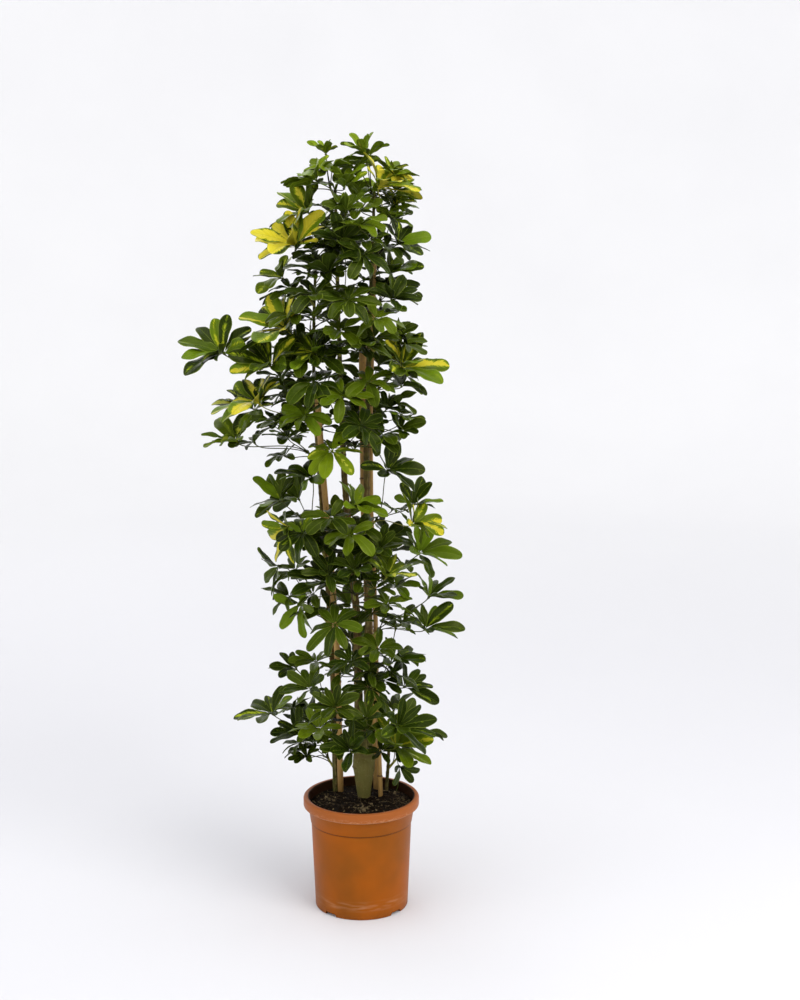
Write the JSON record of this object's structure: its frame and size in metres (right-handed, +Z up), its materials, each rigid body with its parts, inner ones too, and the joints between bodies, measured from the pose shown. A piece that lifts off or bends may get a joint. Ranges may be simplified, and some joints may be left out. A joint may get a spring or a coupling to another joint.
{
  "type": "potted umbrella plant",
  "caption": "tall variegated umbrella plant on slim stems tied to bamboo canes, in a plastic nursery pot of compost",
  "frame": {"origin": "centre of the flat underside of the pot, on the surface that it stands on", "axes": "+Z up along the plant, -Y to the front, +X to the right seen from the front"},
  "size_m": [0.6416, 0.4307, 1.7797],
  "materials": {
    "pot": "satin terracotta-coloured moulded plastic, scuffed pale at the rim and foot",
    "soil": "dark moist peat compost with bark chips and root fibres",
    "cane": "dry bamboo, tan with darker joints",
    "stem": "olive-brown young bark with pale flecks",
    "tie": "dark soft plastic tie",
    "leaf": "glossy dark green leaf with pale midribs",
    "gold_leaf": "glossy green leaf with broad golden yellow variegation"
  },
  "bodies": {
    "root": {"pot": "pot", "soil": "soil", "trunk": "stem", "stem_left": "stem", "stem_low": "stem", "cane_left": "cane", "cane_right": "cane", "cane_back": "cane", "tie_left_low": "tie", "tie_left": "tie", "tie_left_high": "tie", "tie_right": "tie", "tie_right_high": "tie", "crown_tip": "leaf", "crown_gold": "gold_leaf", "crown_peak": "leaf", "crown_back": "leaf", "crown_left": "gold_leaf", "crown_right": "leaf", "crown_front": "leaf", "crown_low": "leaf", "crown_side": "leaf", "crown_star": "leaf", "crown_nape": "leaf", "crown_rear": "leaf", "mid_brow": "leaf", "mid_gold": "gold_leaf", "mid_far": "gold_leaf", "mid_front": "leaf", "mid_right": "gold_leaf", "mid_heart": "leaf", "mid_side": "leaf", "mid_streak": "gold_leaf", "mid_reach": "leaf", "mid_rear": "leaf", "mid_back": "leaf", "mid_foot": "leaf", "waist_left": "leaf", "waist_gold": "gold_leaf", "waist_star": "leaf", "waist_right": "gold_leaf", "waist_front": "leaf", "waist_pair": "leaf", "waist_low": "leaf", "waist_rear": "leaf", "waist_reach": "leaf", "waist_back": "leaf", "waist_foot": "leaf", "knee_right": "leaf", "knee_left": "leaf", "knee_front": "leaf", "knee_back": "leaf", "foot_star": "leaf", "foot_right": "gold_leaf", "foot_front": "gold_leaf", "foot_left": "leaf", "foot_rear": "leaf", "foot_low": "leaf"}
  },
  "joints": []
}
